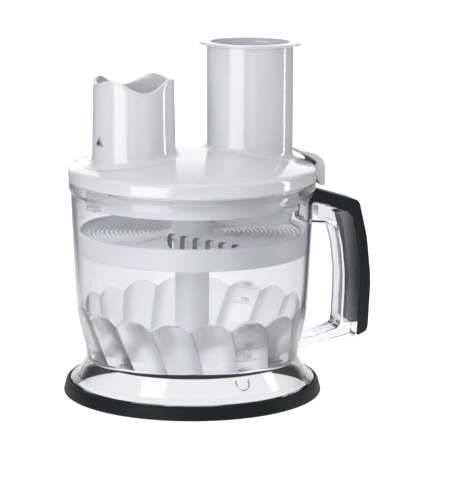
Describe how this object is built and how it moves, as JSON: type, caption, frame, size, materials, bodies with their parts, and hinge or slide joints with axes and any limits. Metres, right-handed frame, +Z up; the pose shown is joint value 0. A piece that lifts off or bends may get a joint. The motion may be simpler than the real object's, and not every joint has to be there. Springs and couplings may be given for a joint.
{
  "type": "food processor",
  "caption": "Food-processor bowl attachment with a clear fluted bowl, channel handle, geared lid with feed tube, and a shredding disc on a spinning column.",
  "frame": {"origin": "middle of the bounding box, on the surface that the rubber ring stands on", "axes": "+Z up along the bowl axis, +X from the bowl towards the handle, +Y to the side"},
  "size_m": [0.2168, 0.1772, 0.2385],
  "materials": {
    "clear_plastic": "clear polished",
    "white_plastic": "glossy",
    "black_plastic": "satin",
    "ring_rubber": "satin",
    "gear_plastic": "satin",
    "bright_steel": "polished",
    "plain_steel": "satin",
    "bush_brass": "satin"
  },
  "bodies": {
    "base": {"bowl": "clear_plastic", "base_ring": "ring_rubber", "handle_grip": "black_plastic", "centre_pin": "plain_steel"},
    "lid": {"lid_cover": "white_plastic", "gear_cover": "white_plastic", "gear_cover_screw_1": "plain_steel", "gear_cover_screw_2": "plain_steel", "gear_cover_screw_3": "plain_steel", "gear_cover_screw_4": "plain_steel", "idler_pin": "plain_steel", "driver_bush": "bush_brass", "input_bush": "bush_brass", "interlock_pin": "plain_steel", "interlock_spring": "plain_steel"},
    "stem": {"drive_stem": "white_plastic"},
    "carrier": {"insert_carrier": "white_plastic"},
    "insert": {"insert_frame": "white_plastic", "shredding_blade": "bright_steel"},
    "driver": {"driver_gear": "gear_plastic"},
    "idler": {"idler_gear": "gear_plastic"},
    "input": {"motor_coupling": "black_plastic", "input_pinion": "plain_steel"},
    "interlock": {"interlock_lever": "white_plastic"}
  },
  "joints": [
    {"name": "lid_lift", "type": "slide", "parent": "base", "child": "lid", "axis": [0, 0, 1], "range_m": [0, 0.25]},
    {"name": "stem_spin", "type": "hinge", "parent": "base", "child": "stem", "pos_m": [-0.01985, 0, 0.06], "axis": [0, 0, 1], "continuous": true},
    {"name": "carrier_lift", "type": "slide", "parent": "stem", "child": "carrier", "axis": [0, 0, 1], "range_m": [0, 0.13]},
    {"name": "insert_lift", "type": "slide", "parent": "carrier", "child": "insert", "axis": [0, 0, 1], "range_m": [0, 0.055]},
    {"name": "driver_spin", "type": "hinge", "parent": "lid", "child": "driver", "pos_m": [-0.01985, 0, 0.14], "axis": [0, 0, 1], "continuous": true},
    {"name": "idler_spin", "type": "hinge", "parent": "lid", "child": "idler", "pos_m": [-0.03578, 0.01035, 0.14], "axis": [0, 0, 1], "continuous": true},
    {"name": "input_spin", "type": "hinge", "parent": "lid", "child": "input", "pos_m": [-0.06126, 0, 0.16], "axis": [0, 0, 1], "continuous": true},
    {"name": "interlock_press", "type": "hinge", "parent": "lid", "child": "interlock", "pos_m": [0.06805, 0, 0.1503], "axis": [0, 1, 0], "range_deg": [0, 8], "stiffness_Nm_per_rad": 0.05, "springref_deg": -5.73}
  ],
  "couplings": [
    {"joint": "carrier_lift", "follows": "lid_lift", "ratio": 0.5},
    {"joint": "insert_lift", "follows": "lid_lift", "ratio": 0.2},
    {"joint": "driver_spin", "follows": "stem_spin", "ratio": 1},
    {"joint": "idler_spin", "follows": "stem_spin", "ratio": -1.7143},
    {"joint": "input_spin", "follows": "stem_spin", "ratio": 6.8571}
  ]
}
